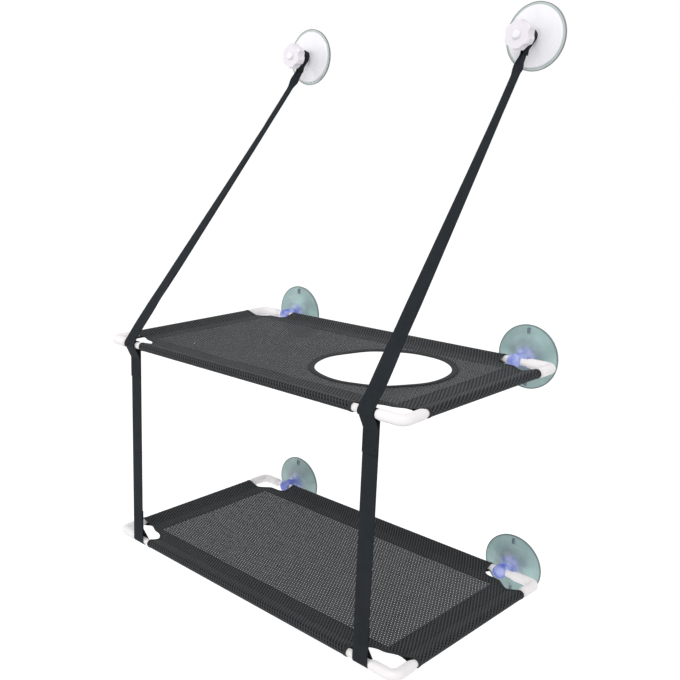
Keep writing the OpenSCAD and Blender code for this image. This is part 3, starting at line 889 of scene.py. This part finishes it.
def diagonal_strap(route, diagonal, material):
    """Webbing from the tube to the stem."""
    heap = Heap()
    lay_web(heap, diagonal.path, diagonal.across, route.width, route.sizes.web, diagonal.flap)
    piece = heap.piece(f"{route.side}_diagonal_webbing", material)
    fit(piece, None, f"{route.side}_diagonal_strap")
    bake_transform(piece)


def diagonal_stitches(route, diagonal, material):
    """A box of stitches on both faces of the sewn end at the tube, and of the one at the stem."""
    low, high = Heap(), Heap()
    up = np.cross(ACROSS, diagonal.climb)
    foot = (diagonal.start + diagonal.low) / 2
    head = diagonal.centre - LOOP_UP * (diagonal.meet + TOP_SEWN / 2)
    wide, long = route.width - SEWN_SIDE, SEWN_LENGTH - SEWN_END
    top_wide, top_long = route.width / 2 - TOP_SIDE, TOP_SEWN - TOP_END
    for face in (1, -1):
        at = foot + up * face * route.face
        sewn_box(low, at, ACROSS, diagonal.climb, up * face, wide, long, route.sizes)
        at = head + ACROSS * face * (2 * PLY + THREAD_LIFT)
        sewn_box(high, at, LOOP_OUT, LOOP_UP, ACROSS * face, top_wide, top_long, route.sizes)
    fit(low.piece(f"{route.side}_diagonal_lower_stitches", material), "upper_perch")
    fit(high.piece(f"{route.side}_diagonal_upper_stitches", material), "window_cups")


# Finishes


# Every pair of sizes here is the two ends of a soft step, unless its comment says otherwise

# Softness of a hole's edge, and of the doubled border's inner edge
HOLE_SOFT = 0.0001
BORDER_SOFT = (0.0006, -0.0002)
# Slant of the slits, as a cosine and a sine, and how much narrower than long they are
SLANT = (0.87, 0.5)
SLIT_NARROW = 0.62
# Spacing of the yarn across and along the cloth
YARN_PITCH = (0.00042, 0.00035)
# Where the webbing's selvedges start, from its middle
SELVEDGE = (0.0117, 0.0108)
# Pitches of the tape's ribs along it and across it
TAPE_RIB = 0.0011
TAPE_WALE = 0.0015
# Rims of the cups and discs, inside their outer radius
CUP_RIM = (0.0026, 0.0008)
DISC_RIM = (0.0016, 0.0004)
# Where a cup's head shows: near its middle, and in front of its skirt
CUP_HEART = (0.019, 0.011)
CUP_HEAD = (-0.011, -0.017)
# Half width of a cup's small tab, and its inner and outer ends from the cup's middle
TAB_HALF = (0.0024, 0.0014)
TAB_IN = (0.0335, 0.0345)
TAB_OUT = (0.0425, 0.0415)


def mesh_cloth(sizes, shades, half):
    """Staggered open mesh: knitted yarn round holes that let light through where the cloth is single, with
    painted highlights on the yarn's crests and painted shade in the holes and over the doubled border.
    """
    f = Finish("mesh_cloth", Specular_IOR_Level=0.08, Sheen_Weight=0.08, Sheen_Roughness=0.3)
    u, v, _ = f.cut()
    a, b = sizes.hole_pitch, sizes.row_pitch

    def near(du, dv):
        # Each hole is a slit that lies along the lattice's slanting rows
        x, y = (u + du).rest(a), (v + dv).rest(2 * b)
        along, across = (y * SLANT[0] - x * SLANT[1]) * SLIT_NARROW, x * SLANT[0] + y * SLANT[1]
        return along * along + across * across

    away = near(0.0, 0.0).least(near(a / 2, b)) ** 0.5
    r = sizes.hole_size / 2
    hole = away.step(r + HOLE_SOFT, r - HOLE_SOFT)
    crest = away.step(r * 0.9, a * 0.46)
    yarn = ((u / YARN_PITCH[0]).sine() * (v / YARN_PITCH[1]).sine() + 1) * 0.5
    slow = f.noise(f.place(), scale=38.0, detail=3.0)
    inner = half - sizes.border
    open_u, open_v = (w.size().step(*(inner[k] + soft for soft in BORDER_SOFT)) for k, w in enumerate((u, v)))
    # Painted shade: outside the single cloth, the doubled border's colour is darkened to 0.65 in the next
    # line
    single = open_u * open_v
    # Painted highlight: the yarn's crests away from the holes come out lighter, mixed with the weave and slow
    # random tone
    lit = (crest * 0.75 + yarn * 0.2 + slow * 0.25).step(0.25, 1.1) * (single * 0.35 + 0.65)
    base = lit.blend(shades.yarn, shades.yarn_crest_highlight)
    # Painted shade in the holes, deepest where the cloth is doubled
    f.colour(hole * (1 - single * 0.3) * 0.85, base, scaled(shades.yarn, 0.3))
    f.link("Alpha", 1 - hole * single)
    f.link("Roughness", 0.8 - crest * 0.16)
    f.bump(crest * 0.8 + yarn * 0.25 - hole * 0.6, distance=0.0007, strength=0.9)
    return f.material


def webbing(shades):
    """Plain close webbing, with lower selvedges that are painted darker as shade."""
    f = Finish("strap_webbing", Specular_IOR_Level=0.04)
    body = f.cut()[0].size().step(*SELVEDGE)
    height = body + (1 - body) * 0.8
    slow = f.noise(f.place(), scale=60.0)
    # Painted shade: where the webbing lies lower, at its selvedges, it comes out darker, mixed with slow
    # random tone
    lit = (height * 0.6 + slow * 0.5).step(0.15, 1.0)
    f.colour(lit, scaled(shades.webbing, 0.4), scaled(shades.webbing, 1.5))
    f.link("Roughness", 0.75 - height * 0.22)
    f.bump(height, distance=0.0004, strength=0.8)
    return f.material


def tape_cloth(shades):
    """Ribbed tape, with its ribs a little aslant, painted lighter on the ribs and darker in the grooves as
    highlight and shade.
    """
    f = Finish("binding_tape", Roughness=0.7, Specular_IOR_Level=0.2)
    s, w, _ = f.cut()
    rib = ((s + w * 0.35) * (2 * math.pi / TAPE_RIB)).sine() * 0.5 + 0.5
    wale = (w * (2 * math.pi / TAPE_WALE)).sine() * 0.5 + 0.5
    height = rib * 0.7 + wale * 0.3
    # Painted highlight on the ribs and painted shade in the grooves, following their height
    f.colour(height, scaled(shades.tape, 0.6), scaled(shades.tape, 1.6))
    f.bump(height, distance=0.00025, strength=0.8)
    return f.material


def sewing_thread(shades):
    f = Finish("sewing_thread", Roughness=0.6, Specular_IOR_Level=0.06)
    twist = f.noise(f.place(), scale=2600.0, detail=1.0)
    f.colour(twist, scaled(shades.thread, 0.6), scaled(shades.thread, 1.6))
    f.bump(twist, distance=0.0001, strength=0.6)
    return f.material


def powder_coat(shades):
    """Powder coated tube: a fine orange peel, with faint rub marks."""
    f = Finish("powder_coat", Roughness=0.38, Specular_IOR_Level=0.5, Coat_Roughness=0.2)
    place = f.place()
    peel = f.noise(place, scale=900.0)
    rub = f.noise(place, scale=70.0, detail=4.0, rough=0.65)
    f.colour(rub.step(0.45, 0.75), shades.tube, scaled(shades.tube, 0.94))
    f.link("Roughness", 0.33 + rub * 0.16)
    f.bump(peel, distance=0.00006, strength=0.5)
    return f.material


def moulded(name, shade, rough):
    """Moulded plastic: a satin skin with faint flow and grain."""
    f = Finish(name, Roughness=rough, Specular_IOR_Level=0.5)
    place = f.place()
    flow = f.noise(place, scale=26.0, detail=3.0, rough=0.6)
    skin = f.noise(place, scale=1500.0)
    f.colour(flow.step(0.35, 0.7), shade, scaled(shade, 0.95))
    f.link("Roughness", rough - 0.06 + flow * 0.12)
    f.bump(skin, distance=0.00005, strength=0.5)
    return f.material


def rim_of(away, radius, rim):
    """1 at the thin edge of a round cup of this radius, at a distance from its middle."""
    return away.step(radius - rim[0], radius - rim[1])


def clear_cup(shades, centre, radius):
    """Clear soft cup: grey-green skirt, bluish to its neck, dark rim, violet head with painted pale
    highlights, and a small dark tab.
    """
    f = Finish("soft_clear_cup", IOR=1.5, Specular_IOR_Level=0.4, Coat_Weight=0.2, Coat_Roughness=0.1)
    x, y, z = f.place().parts()
    away_x = x.size() - centre.x
    away_z = (z - centre.z).size().least(z.size())
    away = (away_x * away_x + away_z * away_z) ** 0.5
    rim = rim_of(away, radius, CUP_RIM)
    neck = away.step(radius * 0.85, radius * 0.2)
    heart, head = away.step(*CUP_HEART), y.step(*CUP_HEAD)
    tab = away_x.size().step(*TAB_HALF) * away.step(*TAB_IN) * away.step(*TAB_OUT)
    flow = f.noise(f.place(), scale=22.0, detail=3.0, rough=0.6)
    skirt = flow.step(0.35, 0.75).blend(neck.blend(shades.cup, shades.cup_neck), scaled(shades.cup, 1.3))
    edged = rim.blend(skirt, scaled(shades.cup, 0.45))
    # Painted highlights: pale glints blended into the violet heads
    violet = f.noise(f.place(), scale=75.0).step(0.3, 0.75).blend(shades.cup_head, shades.cup_gleam)
    f.colour(tab * 0.85, (heart * 0.7).most(head).blend(edged, violet), shades.cup_tab)
    f.link("Alpha", 0.78 + rim * 0.14 + head * 0.12)
    f.link("Roughness", 0.12 + flow * 0.12)
    f.bump(flow, distance=0.0004, strength=0.3)
    return f.material


def clear_disc(shades, centre, radius):
    """Clear soft disc of a top cup, darker at its rim."""
    f = Finish("soft_clear_disc", Roughness=0.16, IOR=1.5, Coat_Weight=0.2)
    x, _, z = f.place().parts()
    away_x, away_z = x.size() - centre.x, z - centre.z
    rim = rim_of((away_x * away_x + away_z * away_z) ** 0.5, radius, DISC_RIM)
    flow = f.noise(f.place(), scale=30.0, detail=3.0, rough=0.6)
    f.colour(rim, flow.blend(shades.disc, scaled(shades.disc, 1.2)), scaled(shades.disc, 0.32))
    f.link("Alpha", 0.82 + rim * 0.12)
    f.bump(flow, distance=0.0003, strength=0.3)
    return f.material


def dress(nodes, material):
    """Gives carried-over parts their finish."""
    for name in nodes:
        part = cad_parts[name]
        part.data.materials.clear()
        part.data.materials.append(material)


FINISHES = {}


def kept(name, make, *values):
    """The named material, made once."""
    if name not in FINISHES:
        FINISHES[name] = make(*values)
    return FINISHES[name]


# Stage


SENSOR = 36.0
CLIP = (0.01, 50.0)
LAMP_AIM = Vector((0, -0.2, 0.3))
KEY_PLACE, KEY_SIZE = (1.3, -2.2, 2.4), 1.6
FILL_PLACE, FILL_SIZE = (-2.2, -1.6, 1.2), 2.0
FAR = 30.0
WHITE = (1.0, 1.0, 1.0, 1.0)
FLOOR_GLOW = 0.35


def set_camera(stage):
    data = bpy.data.cameras.new("camera")
    data.lens, data.sensor_width = stage.lens, SENSOR
    data.shift_x, data.shift_y = stage.shift
    data.clip_start, data.clip_end = CLIP
    camera = bpy.data.objects.new("camera", data)
    yaw, pitch, roll = stage.turn
    turn = Matrix.Rotation(yaw, 4, "Z") @ Matrix.Rotation(math.pi / 2 + pitch, 4, "X")
    camera.matrix_world = Matrix.Translation(Vector(stage.eye)) @ turn @ Matrix.Rotation(roll, 4, "Z")
    bpy.context.scene.collection.objects.link(camera)
    bpy.context.scene.camera = camera


def seen(start):
    """1 for camera, glossy and transmission rays."""
    outs = start.add("ShaderNodeLightPath").socket.node.outputs
    rays = [Wire(start.tree, outs[n]) for n in ("Is Camera Ray", "Is Glossy Ray", "Is Transmission Ray")]
    return rays[0].most(rays[1]).most(rays[2])


def set_world(sky):
    """Even light of the given strength, which is seen as plain white."""
    world = bpy.data.worlds.new("even light")
    world.use_nodes = True
    bpy.context.scene.world = world
    tree = world.node_tree
    tree.nodes.clear()
    start = Wire(tree)
    shown = seen(start)
    plain = start.add("ShaderNodeBackground", None, [WHITE, sky])
    white = start.add("ShaderNodeBackground", None, [WHITE, 1.0])
    both = start.add("ShaderNodeMixShader", None, [shown, plain, white])
    tree.links.new(both.socket, tree.nodes.new("ShaderNodeOutputWorld").inputs["Surface"])


def lamp(name, place, size, power):
    light = bpy.data.lights.new(name, "AREA")
    light.shape, light.size, light.energy = "DISK", size, power
    made = bpy.data.objects.new(name, light)
    made.location = place
    made.rotation_euler = (LAMP_AIM - Vector(place)).to_track_quat("-Z", "Y").to_euler()
    bpy.context.scene.collection.objects.link(made)


def pale_floor(shade, drop):
    """A wide floor that is seen brighter than it lights the perch."""
    f = Finish("pale_floor", Roughness=0.9)
    f.shader.inputs["Base Color"].default_value = (*shade, 1.0)
    f.bump(f.noise(f.place(), scale=30.0), distance=0.0002, strength=0.2)
    matt = Wire(f.tree, f.shader.outputs[0])
    glow = f.start.add("ShaderNodeEmission", None, [WHITE, FLOOR_GLOW])
    lit = f.start.add("ShaderNodeAddShader", None, [matt, glow])
    mixed = f.start.add("ShaderNodeMixShader", None, [seen(f.start), matt, lit])
    f.tree.links.new(mixed.socket, f.tree.nodes["Material Output"].inputs["Surface"])
    corners = [(-FAR, -FAR, 0), (FAR, -FAR, 0), (FAR, FAR, 0), (-FAR, FAR, 0)]
    plane = new_piece("floor", corners, [(0, 1, 2, 3)], f.material)
    plane.location = (0, 0, -drop)


# Operators


def settings():
    scene = bpy.context.scene
    return scene.perch_sizes, scene.perch_colours


class PERCH_OT_mesh_covers(bpy.types.Operator):
    """Hang both mesh covers on their tubes, with edge tape and seams"""

    bl_idname = "perch.mesh_covers"
    bl_label = "Mesh covers"

    def execute(self, context):
        sizes, shades = settings()
        tape_material = kept("binding_tape", tape_cloth, shades)
        thread = kept("sewing_thread", sewing_thread, shades)
        for tier in TIERS:
            deck = Deck(tier, sizes)
            piece, flat, area = mesh_cover(deck, kept("mesh_cloth", mesh_cloth, sizes, shades, deck.half))
            extras = [cover_tapes(deck, tape_material), cover_stitches(deck, thread)]
            if deck.hole is not None:
                extras += hole_tape(deck, tape_material, thread)
        return {"FINISHED"}


class PERCH_OT_vertical_straps(bpy.types.Operator):
    """Lay the webbing that hangs the lower deck from the upper one"""

    bl_idname = "perch.vertical_straps"
    bl_label = "Vertical straps"

    def execute(self, context):
        sizes, shades = settings()
        for side in SIDES:
            route = StrapRoute(side, sizes)
            vertical_strap(route, kept("strap_webbing", webbing, shades))
            vertical_stitches(route, kept("sewing_thread", sewing_thread, shades))
        return {"FINISHED"}


class PERCH_OT_diagonal_straps(bpy.types.Operator):
    """Lay the webbing from the upper deck's front tube to the top cups"""

    bl_idname = "perch.diagonal_straps"
    bl_label = "Diagonal straps"

    def execute(self, context):
        sizes, shades = settings()
        for side in SIDES:
            route = StrapRoute(side, sizes)
            diagonal = DiagonalRoute(route)
            diagonal_strap(route, diagonal, kept("strap_webbing", webbing, shades))
            diagonal_stitches(route, diagonal, kept("sewing_thread", sewing_thread, shades))
        return {"FINISHED"}


class PERCH_OT_frame_finish(bpy.types.Operator):
    """Finish the tubes and elbows"""

    bl_idname = "perch.frame_finish"
    bl_label = "Tubes and elbows"

    def execute(self, context):
        shades = settings()[1]
        tubes = [f"{tier}_{edge}_tube" for tier in TIERS for edge in EDGES]
        elbows = [f"{tier}_{end}_{side}_elbow" for tier in TIERS for end in EDGES[:2] for side in SIDES]
        dress(tubes, kept("powder_coat", powder_coat, shades))
        dress(elbows, kept("moulded_elbow", moulded, "moulded_elbow", shades.elbow, 0.36))
        return {"FINISHED"}


class PERCH_OT_back_cups(bpy.types.Operator):
    """Finish the clear cups behind the decks"""

    bl_idname = "perch.back_cups"
    bl_label = "Back cups"

    def execute(self, context):
        centre, half = centre_and_half("upper_right_cup")
        made = kept("clear_cup", clear_cup, settings()[1], centre, half.x)
        dress([f"{tier}_{side}_cup" for tier in TIERS for side in SIDES], made)
        return {"FINISHED"}


class PERCH_OT_top_cups(bpy.types.Operator):
    """Finish the domed cups that the diagonal straps hang from"""

    bl_idname = "perch.top_cups"
    bl_label = "Top cups"

    def execute(self, context):
        shades = settings()[1]
        centre, half = centre_and_half("right_top_disc")
        disc = kept("clear_disc", clear_disc, shades, centre, half.x)
        dome = kept("moulded_dome", moulded, "moulded_dome", shades.dome, 0.22)
        knob = kept("moulded_knob", moulded, "moulded_knob", shades.knob, 0.3)
        for side in SIDES:
            dress([f"{side}_top_disc"], disc)
            dress([f"{side}_top_dome"], dome)
            dress([f"{side}_top_stud"], dome)
            dress([f"{side}_knob"], knob)
        return {"FINISHED"}


class PERCH_OT_stage(bpy.types.Operator):
    """Set the camera, the soft light and the pale floor"""

    bl_idname = "perch.stage"
    bl_label = "Stage"

    def execute(self, context):
        stage = context.scene.perch_stage
        context.scene.view_settings.view_transform = "Standard"
        set_camera(stage)
        set_world(stage.sky)
        lamp("key", KEY_PLACE, KEY_SIZE, stage.key)
        lamp("fill", FILL_PLACE, FILL_SIZE, stage.fill)
        pale_floor(settings()[1].floor, stage.floor_drop)
        return {"FINISHED"}


class PERCH_PT_panel(bpy.types.Panel):
    """Sizes, colours and steps of the perch"""

    bl_idname = "PERCH_PT_panel"
    bl_label = "Window Cat Perch"
    bl_space_type = "VIEW_3D"
    bl_region_type = "UI"
    bl_category = "Cat Perch"

    def draw(self, context):
        layout = self.layout
        for group in GROUPS:
            box = layout.box()
            box.label(text=group.removeprefix("perch_").capitalize())
            values = getattr(context.scene, group)
            for name in values.__annotations__:
                box.prop(values, name)
        for step in STEPS:
            layout.operator(step.bl_idname)


GROUPS = {"perch_sizes": PerchSizes, "perch_colours": PerchColours, "perch_stage": PerchStage}
STEPS = (
    PERCH_OT_mesh_covers, PERCH_OT_vertical_straps, PERCH_OT_diagonal_straps,
    PERCH_OT_frame_finish, PERCH_OT_back_cups, PERCH_OT_top_cups, PERCH_OT_stage,
)


def register():
    for item in (*GROUPS.values(), *STEPS, PERCH_PT_panel):
        bpy.utils.register_class(item)
    for name, group in GROUPS.items():
        setattr(bpy.types.Scene, name, PointerProperty(type=group))


def unregister():
    for name in GROUPS:
        delattr(bpy.types.Scene, name)
    for item in (PERCH_PT_panel, *reversed(STEPS), *reversed(GROUPS.values())):
        bpy.utils.unregister_class(item)


def main():
    register()
    for step in STEPS:
        space, name = step.bl_idname.split(".")
        getattr(getattr(bpy.ops, space), name)()


if __name__ == "__main__":
    main()
